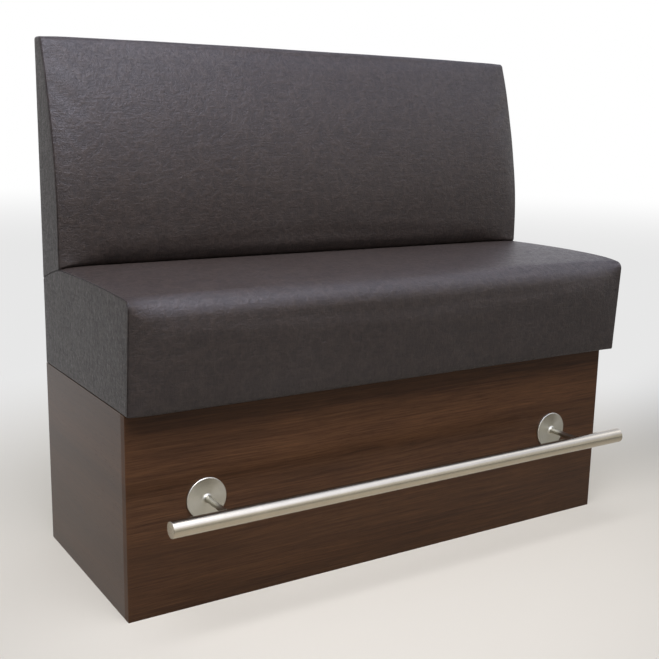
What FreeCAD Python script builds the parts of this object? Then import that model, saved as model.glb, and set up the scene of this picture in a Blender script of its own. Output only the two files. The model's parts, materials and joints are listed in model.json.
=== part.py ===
import FreeCAD, Part
import math
import os
from FreeCAD import Vector

# Upholstered booth bench on a laminate plinth, with a steel foot rail in front.
# All sizes are millimetres. X runs to the right as seen from the front, Y runs
# back to the wall and Z runs up. Sizes are laid out from the plinth's front
# left foot, and every piece is then moved so that the origin lies on the floor
# under the middle of the whole bench.

# Plinth, which is as high as the seat unit on it leaves
base_width = 1200.0
base_depth = 457.0
seat_height = 622.0
seat_unit_height = 222.0
base_height = seat_height - seat_unit_height
panel_thickness = 18.0
edge_band_thickness = 1.0
top_rail_width = 100.0
cleat_width = 30.0
cleat_end_gap = 4.0

# Upholstery, shared by seat and back
overhang_right = 14.0
cover_thickness = 1.5
cover_foam_gap = 0.3
wadding_thickness = 6.2
board_thickness = 18.0
hem_width = 28.0
lining_thickness = 0.8
lining_margin = 16.0

# The cover is drawn in at the side seams and reaches its full shape further in
seam_stations = (6.0, 14.0, 28.0, 48.0, 80.0)
station_draw_shares = (1.0, 0.66, 0.4, 0.18, 0.05, 0.0)

# Seat unit
seat_front_overhang = 28.0
seat_front_lean = 8.0
seat_foam_thickness = 74.0
deck_thickness = 15.0
waterfall_radius = 45.0
seam_corner_radius = 14.0
lower_edge_radius = 5.0
front_edge_drop = 9.0
seam_edge_drop = 4.0
rear_edge_drop = 2.0
rear_roll_depth = 108.0
rear_roll_drop = 31.0
roll_middle_share = 0.5
roll_middle_drop_share = 0.42
seat_top_draw = 5.0
seat_front_draw_low = 12.0
seat_front_draw_high = 4.0
cross_rail_count = 2

# Back unit
overall_height = 1080.0
back_foot_thickness = 110.0
back_bend_share = 0.3
back_middle_share = 0.62
back_middle_thickness = 87.0
back_top_thickness = 40.0
back_front_crown = 12.0
back_top_crown = 4.0
back_top_draw = 8.0
back_top_radius = 12.0
back_rear_radius = 6.0
back_seat_gap = 0.6
back_foam_thickness = 24.0
back_top_foam = 40.0
facing_board_thickness = 5.0
back_rail_thickness = 15.0
back_top_rail_height = 40.0
back_rail_height = 60.0
back_rail_gap = 25.0
back_foot_padding = 6.0
rib_count = 5

# Foot rail
rail_diameter = 32.0
rail_wall = 2.0
rail_end_inset = 39.0
rail_stand_off = 110.0
rail_height = 217.0
cap_thickness = 4.0
cap_chamfer = 1.0
cap_spigot_length = 12.0
left_bracket_inset = 159.0
right_bracket_inset = 149.0
disc_diameter = 82.0
disc_thickness = 5.0
disc_edge_chamfer = 0.8
post_diameter = 12.0
post_collar_radius = 6.0
spigot_diameter = 8.0
spigot_reach = 6.0
stud_diameter = 10.0
stud_end = 3.0
washer_diameter = 30.0
washer_thickness = 2.5
nut_width = 17.0
nut_height = 8.0
weld_gap = 0.2
bore_clearance = 0.2

# Screws
wood_screw_diameter = 4.5
wood_screw_head = 9.0
wood_screw_head_depth = 2.6
cleat_screw_length = 42.0
strap_screw_length = 18.0
frame_screw_length = 50.0
coach_screw_diameter = 6.0
coach_screw_length = 65.0
coach_head_width = 10.0
coach_head_height = 4.0
screw_inset = 30.0

# Rear joining straps
strap_count = 3
strap_width = 40.0
strap_thickness = 3.0
strap_side_inset = 150.0
strap_end_margin = 20.0
strap_plinth_screw_drops = (80.0, 30.0)
strap_seat_screw_rises = (40.0, 100.0)
strap_back_screw_rises = (45.0, 115.0)

# Levelling feet
block_width = 60.0
block_height = 60.0
foot_clearance = 1.0
pad_diameter = 40.0
pad_height = 8.0
pad_neck_gap = 3.0
stem_diameter = 10.0
stem_length = 76.0
stem_clearance = 0.3
socket_width = 5.0
socket_depth = 6.0
insert_flange_diameter = 24.0
insert_flange_thickness = 2.0
insert_barrel_diameter = 14.0
insert_barrel_length = 14.0

# One length by which cutting bodies run past what they cut
overrun = 10.0

# Places worked out from the sizes above
upholstery_width = base_width + overhang_right
frame_left = cover_thickness + cover_foam_gap + wadding_thickness
frame_right = upholstery_width - frame_left
frame_rear = base_depth - cover_thickness
seat_frame_bottom = base_height + cover_thickness
seat_deck_top = seat_height - seat_foam_thickness
seat_deck_bottom = seat_deck_top - deck_thickness
seat_roll_end = seat_height - rear_edge_drop - rear_roll_drop
back_bend_height = seat_height + (overall_height - seat_height) * back_bend_share
back_middle_height = seat_height + (overall_height - seat_height) * back_middle_share
back_frame_foot = seat_roll_end + back_foot_padding
back_frame_top = overall_height - back_top_foam
rail_radius = rail_diameter / 2
strap_outer_face = base_depth + lining_thickness + strap_thickness
front_limit = -(rail_stand_off + rail_radius)
origin_shift = Vector(-upholstery_width / 2, -(front_limit + strap_outer_face) / 2, 0)

nodes = {}


def add(name, *solids):
    """Keep the solids of one node, moved to the bench's own origin."""
    moved = []
    for solid in solids:
        copy = solid.copy()
        copy.translate(origin_shift)
        moved.append(copy)
    nodes[name] = moved


def block(x_range, y_range, z_range):
    """A box between two places along each axis."""
    low = Vector(x_range[0], y_range[0], z_range[0])
    return Part.makeBox(x_range[1] - x_range[0], y_range[1] - y_range[0], z_range[1] - z_range[0], low)


def rod(diameter, start, end):
    """A round bar between two points."""
    run = end - start
    return Part.makeCylinder(diameter / 2, run.Length, start, run)


def hexagon(width, start, end):
    """A hexagonal bar between two points, given across its flats."""
    run = end - start
    corner = width / math.sqrt(3)
    points = []
    for step in range(7):
        turn = math.radians(60 * step)
        points.append(Vector(corner * math.cos(turn), corner * math.sin(turn), 0))
    face = Part.Face(Part.makePolygon(points))
    bar = face.extrude(Vector(0, 0, run.Length))
    bar.Placement = FreeCAD.Placement(start, FreeCAD.Rotation(Vector(0, 0, 1), run))
    return bar


def line(start, end):
    return Part.LineSegment(start, end).toShape()


def arc(start, middle, end):
    return Part.Arc(start, middle, end).toShape()


def corner_arc(centre, radius, first, second):
    """A quarter turn about a centre, from one direction to the other."""
    middle = (first + second) * (radius / math.sqrt(2))
    return arc(centre + first * radius, centre + middle, centre + second * radius)


def cut_all(body, tools):
    for tool in tools:
        body = body.cut(tool)
    return body


def screw(point, direction, length, clearance=0):
    """A countersunk wood screw with its head at the point, or the hole for it."""
    head = wood_screw_head / 2 + clearance
    shank = wood_screw_diameter / 2 + clearance
    along = Vector(direction)
    along.normalize()
    cone = Part.makeCone(head, shank, wood_screw_head_depth, point, along)
    bar = Part.makeCylinder(shank, length + clearance, point, along)
    return bar.fuse(cone).removeSplitter()


def screw_hole(point, direction, length):
    return screw(point, direction, length, bore_clearance)


# Soft outlines, written once and used for covers, foam and what fits round them


def stations(inset):
    """Places across the bench and how far the cover is drawn in at each."""
    steps = (inset,) + seam_stations
    pairs = list(zip(steps, station_draw_shares))
    pairs.append((upholstery_width / 2, station_draw_shares[-1]))
    for step, share in zip(reversed(steps), reversed(station_draw_shares)):
        pairs.append((upholstery_width - step, share))
    return pairs


def seat_outline(x, draw, inset):
    """The seat cushion's outline at one place across the bench."""
    front_low = inset - seat_front_overhang + seat_front_draw_low * draw
    front_high = inset - seat_front_overhang - seat_front_lean + seat_front_draw_high * draw
    crest = seat_height - seat_top_draw * draw - inset
    front_edge = crest - front_edge_drop * (1 - draw) - seam_edge_drop * draw
    radius = waterfall_radius * (1 - draw) + seam_corner_radius * draw - inset
    floor = base_height + inset
    small = lower_edge_radius - inset
    roll_start = base_depth - rear_roll_depth
    rear_edge = crest - rear_edge_drop
    rear = base_depth - inset
    roll_end = rear_edge - rear_roll_drop
    top_start = front_high + radius
    roll_middle = Vector(
        x,
        roll_start + (rear - roll_start) * roll_middle_share,
        rear_edge - rear_roll_drop * roll_middle_drop_share,
    )
    back_way = Vector(0, 1, 0)
    up = Vector(0, 0, 1)
    edges = [
        line(Vector(x, rear, floor), Vector(x, front_low + small, floor)),
        corner_arc(Vector(x, front_low + small, floor + small), small, -up, -back_way),
        line(Vector(x, front_low, floor + small), Vector(x, front_high, front_edge - radius)),
        corner_arc(Vector(x, top_start, front_edge - radius), radius, -back_way, up),
        arc(
            Vector(x, top_start, front_edge),
            Vector(x, (top_start + roll_start) / 2, crest),
            Vector(x, roll_start, rear_edge),
        ),
        arc(Vector(x, roll_start, rear_edge), roll_middle, Vector(x, rear, roll_end)),
        line(Vector(x, rear, roll_end), Vector(x, rear, floor)),
    ]
    return Part.Wire(edges)


def back_front_edges(x, inset, crown, top):
    """The back's front line from its foot to its top, moved in by an inset."""
    bend_front = base_depth - back_foot_thickness + inset - crown
    middle_front = base_depth - back_middle_thickness + inset - crown
    top_front = base_depth - back_top_thickness + inset - crown * back_top_crown / back_front_crown
    foot = Vector(x, bend_front, seat_deck_top)
    bend = Vector(x, bend_front, back_bend_height)
    end = Vector(x, top_front, top)
    middle = Vector(x, middle_front, back_middle_height)
    return [line(foot, bend), arc(bend, middle, end)]


def back_outline(x, draw, inset):
    """The back cushion's outline at one place, before the seat is cut from it."""
    crown = back_front_crown * (1 - draw)
    top = overall_height - back_top_draw * draw - inset
    front_radius = back_top_radius - inset
    rear_radius = back_rear_radius - inset
    rear = base_depth - inset
    front_edges = back_front_edges(x, inset, crown, top - front_radius)
    foot = front_edges[0].Vertexes[0].Point
    shoulder = front_edges[1].Vertexes[1].Point
    back_way = Vector(0, 1, 0)
    up = Vector(0, 0, 1)
    top_start = Vector(x, shoulder.y + front_radius, top)
    top_end = Vector(x, rear - rear_radius, top)
    edges = front_edges + [
        corner_arc(Vector(x, top_start.y, shoulder.z), front_radius, -back_way, up),
        line(top_start, top_end),
        corner_arc(Vector(x, top_end.y, top - rear_radius), rear_radius, up, back_way),
        line(Vector(x, rear, top - rear_radius), Vector(x, rear, seat_deck_top)),
        line(Vector(x, rear, seat_deck_top), foot),
    ]
    return Part.Wire(edges)


def soft_body(outline, inset):
    """The cushion's body, with everything on its outside moved in by the inset."""
    wires = [outline(x, draw, inset) for x, draw in stations(inset)]
    return Part.makeLoft(wires, True, True)


def seat_shadow(lift):
    """The seat's full outline across the whole width, lifted, to cut the back's foot."""
    wire = seat_outline(-overrun, 0, 0)
    prism = Part.Face(wire).extrude(Vector(upholstery_width + 2 * overrun, 0, 0))
    prism.translate(Vector(0, 0, lift))
    behind = block(
        (-overrun, upholstery_width + overrun),
        (base_depth, base_depth + overrun),
        (base_height, seat_roll_end + lift),
    )
    return prism.fuse(behind)


# Plinth


def make_plinth():
    inner_left = panel_thickness
    inner_right = base_width - panel_thickness
    inner_rear = base_depth - panel_thickness
    front = block(
        (edge_band_thickness, base_width - edge_band_thickness),
        (0, panel_thickness),
        (0, base_height),
    )
    left = block((0, panel_thickness), (panel_thickness, base_depth), (0, base_height))
    right = block((inner_right, base_width), (panel_thickness, base_depth), (0, base_height))
    rear = block((inner_left, inner_right), (inner_rear, base_depth), (0, base_height))
    bands = [
        block((0, edge_band_thickness), (0, panel_thickness), (0, base_height)),
        block((base_width - edge_band_thickness, base_width), (0, panel_thickness), (0, base_height)),
    ]
    rail_bottom = base_height - panel_thickness
    rail_spans = {
        "base_top_front_rail": (panel_thickness, panel_thickness + top_rail_width),
        "base_top_rear_rail": (inner_rear - top_rail_width, inner_rear),
    }
    middle = base_width / 2
    divider = block(
        (middle - panel_thickness / 2, middle + panel_thickness / 2),
        (panel_thickness, inner_rear),
        (0, rail_bottom),
    )

    # Upright cleats stand in the four corners, screwed into both panels there
    cleat_bottom = stem_top_height() + cleat_end_gap
    cleat_top = rail_bottom - cleat_end_gap
    screw_heights = (cleat_bottom + screw_inset, cleat_top - screw_inset)
    cleats = []
    screws = []
    holes = []
    corners = (
        (inner_left, 1, panel_thickness, 1),
        (inner_right, -1, panel_thickness, 1),
        (inner_left, 1, inner_rear, -1),
        (inner_right, -1, inner_rear, -1),
    )
    for corner_x, way_x, corner_y, way_y in corners:
        far_x = corner_x + way_x * cleat_width
        far_y = corner_y + way_y * cleat_width
        cleats.append(
            block(
                (min(corner_x, far_x), max(corner_x, far_x)),
                (min(corner_y, far_y), max(corner_y, far_y)),
                (cleat_bottom, cleat_top),
            )
        )
        for height in screw_heights:
            side_point = Vector(far_x, corner_y + way_y * cleat_width / 2, height)
            end_point = Vector(corner_x + way_x * cleat_width / 2, far_y, height + cleat_width / 2)
            for point, direction in ((side_point, Vector(-way_x, 0, 0)), (end_point, Vector(0, -way_y, 0))):
                screws.append(screw(point, direction, cleat_screw_length))
                holes.append(screw_hole(point, direction, cleat_screw_length))

    for bracket_x in bracket_places():
        start = Vector(bracket_x, -overrun, rail_height)
        end = Vector(bracket_x, panel_thickness + overrun, rail_height)
        holes.append(rod(stud_diameter + 2 * bore_clearance, start, end))
    holes.extend(strap_holes())

    add("base_front_panel", cut_all(front, holes))
    add("base_left_panel", cut_all(left, holes))
    add("base_right_panel", cut_all(right, holes))
    add("base_rear_panel", cut_all(rear, holes))
    add("base_edge_bands", *bands)
    add("base_divider", divider)
    for name, span in rail_spans.items():
        rail = block((inner_left, inner_right), span, (rail_bottom, base_height))
        add(name, cut_all(rail, coach_holes()))
    add("base_corner_cleats", *[cut_all(cleat, holes) for cleat in cleats])
    add("base_cleat_screws", *screws)


# Levelling feet, screwed right in at rest so that the plinth stands on its panels


def block_bottom():
    return foot_clearance + pad_height + pad_neck_gap + insert_flange_thickness


def stem_top_height():
    return foot_clearance + pad_height + stem_length


def foot_places():
    near = panel_thickness + block_width / 2
    far_x = base_width - near
    far_y = base_depth - near
    return {
        "front_left": (near, near),
        "front_right": (far_x, near),
        "rear_left": (near, far_y),
        "rear_right": (far_x, far_y),
    }


def make_levelling_feet():
    blocks = []
    inserts = []
    bottom = block_bottom()
    for name, (x, y) in foot_places().items():
        stem_top = Vector(x, y, stem_top_height())
        stem_bottom = Vector(x, y, foot_clearance + pad_height)
        bore = rod(
            stem_diameter + 2 * stem_clearance,
            Vector(x, y, 0),
            Vector(x, y, bottom + block_height + overrun),
        )
        flange = rod(
            insert_flange_diameter,
            Vector(x, y, bottom - insert_flange_thickness),
            Vector(x, y, bottom),
        )
        barrel_top = Vector(x, y, bottom + insert_barrel_length)
        barrel = rod(insert_barrel_diameter, Vector(x, y, bottom), barrel_top)
        pocket = rod(insert_barrel_diameter + 2 * bore_clearance, Vector(x, y, bottom), barrel_top)
        inserts.append(flange.fuse(barrel).removeSplitter().cut(bore))
        half = block_width / 2
        body = block((x - half, x + half), (y - half, y + half), (bottom, bottom + block_height))
        blocks.append(cut_all(body, (bore, pocket)))

        pad = rod(pad_diameter, Vector(x, y, foot_clearance), stem_bottom)
        stem = rod(stem_diameter, stem_bottom, stem_top)
        socket_floor = stem_top - Vector(0, 0, socket_depth)
        socket = hexagon(socket_width, socket_floor, stem_top + Vector(0, 0, overrun))
        add("leveller_" + name, pad.fuse(stem).removeSplitter().cut(socket))
    add("leveller_blocks", *blocks)
    add("leveller_inserts", *inserts)


# Foot rail and its two brackets


def bracket_places():
    return (left_bracket_inset, base_width - right_bracket_inset)


def rail_point(x):
    return Vector(x, -rail_stand_off, rail_height)


def make_foot_rail():
    left = rail_end_inset
    right = base_width - rail_end_inset
    outer = rod(rail_diameter, rail_point(left + cap_thickness), rail_point(right - cap_thickness))
    hollow = rod(rail_diameter - 2 * rail_wall, rail_point(left - overrun), rail_point(right + overrun))
    tube = outer.cut(hollow)
    for x in bracket_places():
        hole_end = rail_point(x) + Vector(0, rail_diameter, 0)
        tube = tube.cut(rod(spigot_diameter + 2 * bore_clearance, rail_point(x), hole_end))
    add("foot_rail_tube", tube)
    add("rail_end_cap_left", make_end_cap(left, 1))
    add("rail_end_cap_right", make_end_cap(right, -1))

    washers = []
    nuts = []
    for side, x in zip(("left", "right"), bracket_places()):
        add("rail_post_" + side, make_rail_post(x))
        add("rail_disc_" + side, make_rail_disc(x))
        inside = Vector(x, panel_thickness, rail_height)
        seat = inside + Vector(0, washer_thickness, 0)
        stud = rod(stud_diameter + 2 * bore_clearance, inside, seat + Vector(0, nut_height + overrun, 0))
        washers.append(rod(washer_diameter, inside, seat).cut(stud))
        nuts.append(hexagon(nut_width, seat, seat + Vector(0, nut_height, 0)).cut(stud))
    add("rail_washers", *washers)
    add("rail_nuts", *nuts)


def make_end_cap(x, way):
    """A flat cap with a chamfered rim and a spigot that sits in the tube."""
    outer_face = rail_point(x)
    rim = rail_point(x + way * cap_chamfer)
    inner_face = rail_point(x + way * cap_thickness)
    run = Vector(way, 0, 0)
    chamfer = Part.makeCone(rail_radius - cap_chamfer, rail_radius, cap_chamfer, outer_face, run)
    plate = rod(rail_diameter, rim, inner_face)
    spigot = rod(
        rail_diameter - 2 * (rail_wall + bore_clearance),
        inner_face,
        inner_face + run * cap_spigot_length,
    )
    return chamfer.fuse([plate, spigot]).removeSplitter()


def make_rail_post(x):
    """One turned rod: stud through the panel, post to the rail, spigot into the tube."""
    shoulder = Vector(x, -disc_thickness, rail_height)
    stud_tip = Vector(x, panel_thickness + washer_thickness + nut_height + stud_end, rail_height)
    post = rod(post_diameter, rail_point(x), shoulder)
    coping = rod(rail_diameter + 2 * weld_gap, rail_point(x - overrun), rail_point(x + overrun))
    spigot_tip = rail_point(x) + Vector(0, rail_radius - rail_wall - spigot_reach, 0)
    stud = rod(stud_diameter, shoulder, stud_tip)
    spigot = rod(spigot_diameter, spigot_tip, shoulder)
    return post.cut(coping).fuse([stud, spigot]).removeSplitter()


def make_rail_disc(x):
    """A round plate with a coved collar that runs out along the post."""
    inner = stud_diameter / 2 + bore_clearance
    collar_inner = post_diameter / 2 + bore_clearance
    outer = disc_diameter / 2
    cove_start = Vector(collar_inner + post_collar_radius, -disc_thickness, 0)
    cove_end = Vector(collar_inner, -disc_thickness - post_collar_radius, 0)
    cove_centre = Vector(cove_start.x, cove_end.y, 0)
    cove_middle = cove_centre + Vector(-1, 1, 0) * (post_collar_radius / math.sqrt(2))
    points = [
        Vector(inner, 0, 0),
        Vector(outer, 0, 0),
        Vector(outer, disc_edge_chamfer - disc_thickness, 0),
        Vector(outer - disc_edge_chamfer, -disc_thickness, 0),
        cove_start,
    ]
    edges = [line(first, second) for first, second in zip(points, points[1:])]
    edges.append(arc(cove_start, cove_middle, cove_end))
    step = Vector(collar_inner, -disc_thickness, 0)
    for first, second in ((cove_end, step), (step, Vector(inner, -disc_thickness, 0))):
        edges.append(line(first, second))
    edges.append(line(Vector(inner, -disc_thickness, 0), points[0]))
    disc = Part.Face(Part.Wire(edges)).revolve(Vector(0, 0, 0), Vector(0, 1, 0), 360)
    disc.translate(Vector(x, 0, rail_height))
    return disc


# Seat unit


def cross_rail_places():
    span = frame_right - frame_left - board_thickness
    step = span / (cross_rail_count + 1)
    return [frame_left + step * (number + 1) for number in range(cross_rail_count)]


def coach_points():
    """Where the coach screws go up through the plinth's top rails."""
    front_y = panel_thickness + top_rail_width / 2
    rear_y = base_depth - panel_thickness - top_rail_width / 2
    points = []
    for x in cross_rail_places():
        for y in (front_y, rear_y):
            points.append(Vector(x + board_thickness / 2, y, base_height - panel_thickness))
    return points


def coach_holes():
    holes = []
    for point in coach_points():
        end = point + Vector(0, 0, coach_screw_length + bore_clearance)
        holes.append(rod(coach_screw_diameter + 2 * bore_clearance, point, end))
    return holes


def make_seat_frame():
    inner_left = frame_left + board_thickness
    inner_right = frame_right - board_thickness
    inner_rear = frame_rear - board_thickness
    heights = (seat_frame_bottom, seat_deck_bottom)
    width = (frame_left, frame_right)
    between = (board_thickness, inner_rear)
    front = block(width, (0, board_thickness), heights)
    rear = block(width, (inner_rear, frame_rear), heights)
    left = block((frame_left, inner_left), between, heights)
    right = block((inner_right, frame_right), between, heights)
    crosses = [block((x, x + board_thickness), between, heights) for x in cross_rail_places()]
    screws = []
    holes = []
    ends = [frame_left] + cross_rail_places() + [inner_right]
    for x in ends:
        for height in (seat_frame_bottom + screw_inset, seat_deck_bottom - screw_inset):
            middle = x + board_thickness / 2
            front_point = Vector(middle, 0, height)
            rear_point = Vector(middle, frame_rear, height)
            for point, way in ((front_point, Vector(0, 1, 0)), (rear_point, Vector(0, -1, 0))):
                screws.append(screw(point, way, frame_screw_length))
                holes.append(screw_hole(point, way, frame_screw_length))
    holes.extend(strap_holes())
    holes.extend(coach_holes())
    add("seat_front_rail", cut_all(front, holes))
    add("seat_rear_rail", cut_all(rear, holes))
    add("seat_left_rail", cut_all(left, holes))
    add("seat_right_rail", cut_all(right, holes))
    add("seat_cross_rails", *[cut_all(cross, holes) for cross in crosses])
    add("seat_frame_screws", *screws)
    add("seat_deck", block(width, (0, frame_rear), (seat_deck_bottom, seat_deck_top)))

    coach_screws = []
    for point in coach_points():
        head = hexagon(coach_head_width, point - Vector(0, 0, coach_head_height), point)
        shank = rod(coach_screw_diameter, point, point + Vector(0, 0, coach_screw_length))
        coach_screws.append(head.fuse(shank).removeSplitter())
    add("seat_coach_screws", *coach_screws)


def make_seat_soft_parts():
    outer = soft_body(seat_outline, 0)
    inner = soft_body(seat_outline, cover_thickness)
    foam = soft_body(seat_outline, cover_thickness + cover_foam_gap)
    far = upholstery_width + overrun
    high = overall_height
    under_deck = (0, seat_deck_top)
    over_deck = block((-overrun, far), (-base_depth, base_depth), (seat_deck_top, high))
    add("seat_top_foam", foam.common(over_deck))
    add("seat_front_foam", foam.common(block((-overrun, far), (-base_depth, 0), under_deck)))
    add("seat_wadding_left", foam.common(block((-overrun, frame_left), (0, frame_rear), under_deck)))
    add("seat_wadding_right", foam.common(block((frame_right, far), (0, frame_rear), under_deck)))

    # The cover is turned under the frame and round its rear, and stapled there
    skin = outer.cut(inner)
    right_seam = upholstery_width - cover_thickness
    windows = [
        block(
            (hem_width, upholstery_width - hem_width),
            (hem_width, base_depth - hem_width),
            (base_height - overrun, base_height + cover_thickness),
        ),
        block(
            (hem_width, upholstery_width - hem_width),
            (base_depth - cover_thickness, base_depth + overrun),
            (base_height + hem_width, seat_deck_bottom),
        ),
    ]
    windows.extend(strap_holes())
    middle = block((cover_thickness, right_seam), (-base_depth, base_depth + overrun), (0, high))
    left = block((-overrun, cover_thickness), (-base_depth, base_depth + overrun), (0, high))
    right = block((right_seam, far), (-base_depth, base_depth + overrun), (0, high))
    add("seat_cover_top", cut_all(skin.common(middle), windows))
    add("seat_cover_left", skin.common(left))
    add("seat_cover_right", skin.common(right))
    lining = block(
        (lining_margin, upholstery_width - lining_margin),
        (base_depth, base_depth + lining_thickness),
        (base_height + lining_margin, seat_deck_top + lining_margin),
    )
    add("seat_rear_lining", cut_all(lining, strap_holes()))


# Back unit


def back_slab(inset, x_range):
    """The space behind the cover, moved in by an inset, between two places across the bench."""
    x = x_range[0]
    edges = back_front_edges(x, inset, 0, overall_height - back_top_draw - back_top_radius)
    foot = edges[0].Vertexes[0].Point
    top = edges[1].Vertexes[1].Point
    edges.append(line(top, Vector(x, frame_rear, top.z)))
    edges.append(line(Vector(x, frame_rear, top.z), Vector(x, frame_rear, foot.z)))
    edges.append(line(Vector(x, frame_rear, foot.z), foot))
    body = Part.Face(Part.Wire(edges)).extrude(Vector(x_range[1] - x, 0, 0))
    above = block(
        (x_range[0] - overrun, x_range[1] + overrun),
        (0, base_depth + overrun),
        (back_frame_top, overall_height + overrun),
    )
    return cut_all(body, (above, seat_shadow(back_foot_padding)))


def rib_places():
    step = (frame_right - frame_left - board_thickness) / (rib_count - 1)
    return [frame_left + step * number for number in range(rib_count)]


def make_back_frame():
    width = (frame_left, frame_right)
    rear_band = (frame_rear - back_rail_thickness, frame_rear)
    rib_inset = back_foam_thickness + facing_board_thickness
    rib_front = base_depth - back_foot_thickness + rib_inset
    front_band = (rib_front, rib_front + back_rail_thickness)
    front_foot = seat_height + back_foot_padding
    middle_foot = back_frame_foot + back_rail_height + back_rail_gap
    rails = {
        "back_top_rail": block(width, rear_band, (back_frame_top - back_top_rail_height, back_frame_top)),
        "back_middle_rail": block(width, rear_band, (middle_foot, middle_foot + back_rail_height)),
        "back_bottom_rail": block(width, rear_band, (back_frame_foot, back_frame_foot + back_rail_height)),
        "back_front_rail": block(width, front_band, (front_foot, front_foot + back_rail_height)),
    }
    space = back_slab(rib_inset, width)
    for name, rail in rails.items():
        add(name, cut_all(rail.common(space), strap_holes()))
    for number, x in enumerate(rib_places()):
        rib = back_slab(rib_inset, (x, x + board_thickness))
        add("back_rib_%d" % (number + 1), cut_all(rib, rails.values()))
    board = back_slab(back_foam_thickness, width)
    behind = back_slab(rib_inset, (-overrun, upholstery_width + overrun))
    add("back_facing_board", board.cut(behind))


def make_back_soft_parts():
    outer = soft_body(back_outline, 0).cut(seat_shadow(back_seat_gap))
    inner = soft_body(back_outline, cover_thickness).cut(seat_shadow(back_seat_gap + cover_thickness))
    foam_lift = back_seat_gap + cover_thickness + cover_foam_gap
    foam = soft_body(back_outline, cover_thickness + cover_foam_gap).cut(seat_shadow(foam_lift))
    far = upholstery_width + overrun
    depth = (-base_depth, base_depth + overrun)
    height = (0, overall_height + overrun)
    frame_space = back_slab(back_foam_thickness, (frame_left, frame_right))
    middle_foam = foam.common(block((frame_left, frame_right), (-base_depth, frame_rear), height))
    add("back_foam", middle_foam.cut(frame_space))
    add("back_wadding_left", foam.common(block((-overrun, frame_left), (-base_depth, frame_rear), height)))
    add("back_wadding_right", foam.common(block((frame_right, far), (-base_depth, frame_rear), height)))

    skin = outer.cut(inner)
    right_seam = upholstery_width - cover_thickness
    window = block(
        (hem_width, upholstery_width - hem_width),
        (base_depth - cover_thickness, base_depth + overrun),
        (seat_roll_end + back_seat_gap + hem_width, overall_height - hem_width),
    )
    front_skin = skin.common(block((cover_thickness, right_seam), depth, height))
    add("back_cover_front", cut_all(front_skin, [window] + strap_holes()))
    add("back_cover_left", skin.common(block((-overrun, cover_thickness), depth, height)))
    add("back_cover_right", skin.common(block((right_seam, far), depth, height)))
    lining = block(
        (lining_margin, upholstery_width - lining_margin),
        (base_depth, base_depth + lining_thickness),
        (seat_roll_end + lining_margin, overall_height - back_top_draw - lining_margin),
    )
    add("back_rear_lining", cut_all(lining, strap_holes()))


# Straps that tie plinth, seat and back together behind


def strap_places():
    span = upholstery_width - 2 * strap_side_inset
    step = span / (strap_count - 1)
    return [strap_side_inset + step * number for number in range(strap_count)]


def strap_screw_heights():
    """Two screws in each of plinth, seat and back, from the bottom up."""
    heights = [base_height - drop for drop in strap_plinth_screw_drops]
    heights.extend(base_height + rise for rise in strap_seat_screw_rises)
    heights.extend(back_frame_foot + rise for rise in strap_back_screw_rises)
    return heights


def strap_screw_points():
    points = []
    for x in strap_places():
        for height in strap_screw_heights():
            points.append(Vector(x, strap_outer_face, height))
    return points


def strap_holes():
    return [screw_hole(point, Vector(0, -1, 0), strap_screw_length) for point in strap_screw_points()]


def make_straps():
    half = strap_width / 2
    depth = (base_depth + lining_thickness, strap_outer_face)
    screw_heights = strap_screw_heights()
    height = (screw_heights[0] - strap_end_margin, screw_heights[-1] + strap_end_margin)
    straps = [block((x - half, x + half), depth, height) for x in strap_places()]
    add("rear_straps", *[cut_all(strap, strap_holes()) for strap in straps])
    screws = [screw(point, Vector(0, -1, 0), strap_screw_length) for point in strap_screw_points()]
    add("rear_strap_screws", *screws)


def export_nodes():
    os.makedirs("parts", exist_ok=True)
    for name, solids in nodes.items():
        for solid in solids:
            if not solid.isValid() or len(solid.Solids) != 1:
                print("check", name, "valid", solid.isValid(), "solids", len(solid.Solids))
        pieces = [solid.Solids[0] for solid in solids]
        shape = pieces[0] if len(pieces) == 1 else Part.makeCompound(pieces)
        shape.exportStep("parts/" + name + ".step")


make_plinth()
make_levelling_feet()
make_foot_rail()
make_seat_frame()
make_seat_soft_parts()
make_back_frame()
make_back_soft_parts()
make_straps()
export_nodes()
print("nodes", len(nodes))
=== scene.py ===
import json
import math

import bpy
import numpy as np
from mathutils import Matrix, Vector, geometry, noise


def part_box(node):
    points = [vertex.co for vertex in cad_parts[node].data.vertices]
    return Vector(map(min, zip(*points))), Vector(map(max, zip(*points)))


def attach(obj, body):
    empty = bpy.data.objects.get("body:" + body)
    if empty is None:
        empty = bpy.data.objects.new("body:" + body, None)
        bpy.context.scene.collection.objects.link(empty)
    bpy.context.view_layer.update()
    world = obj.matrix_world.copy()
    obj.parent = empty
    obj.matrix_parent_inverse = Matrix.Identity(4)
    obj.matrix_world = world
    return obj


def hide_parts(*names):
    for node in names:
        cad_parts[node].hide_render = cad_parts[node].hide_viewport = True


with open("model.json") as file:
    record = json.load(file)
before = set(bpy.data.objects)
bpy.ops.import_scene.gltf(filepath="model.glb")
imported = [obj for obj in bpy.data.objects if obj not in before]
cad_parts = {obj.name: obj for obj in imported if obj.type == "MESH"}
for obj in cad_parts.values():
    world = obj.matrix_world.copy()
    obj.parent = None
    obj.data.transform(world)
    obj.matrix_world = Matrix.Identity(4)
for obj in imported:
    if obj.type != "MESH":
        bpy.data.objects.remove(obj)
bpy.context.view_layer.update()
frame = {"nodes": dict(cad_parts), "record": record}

# Lengths are metres. They run from the plinth's front left foot, as in the part's
# source: X to the right, Y back to the wall, Z up. CORNER takes them to the frame.
CORNER = np.array([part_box("base_left_panel")[0].x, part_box("base_front_panel")[0].y, 0.0])

# Sizes shared with the part's source
WIDTH = 1.214
DEPTH = 0.457
BASE_HEIGHT = 0.400
SEAT_HEIGHT = 0.622
COVER_THICKNESS = 0.0013
# Keeps divisions by a length of nothing, and comparisons of equal lengths, safe
TINY = 1e-9

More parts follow.
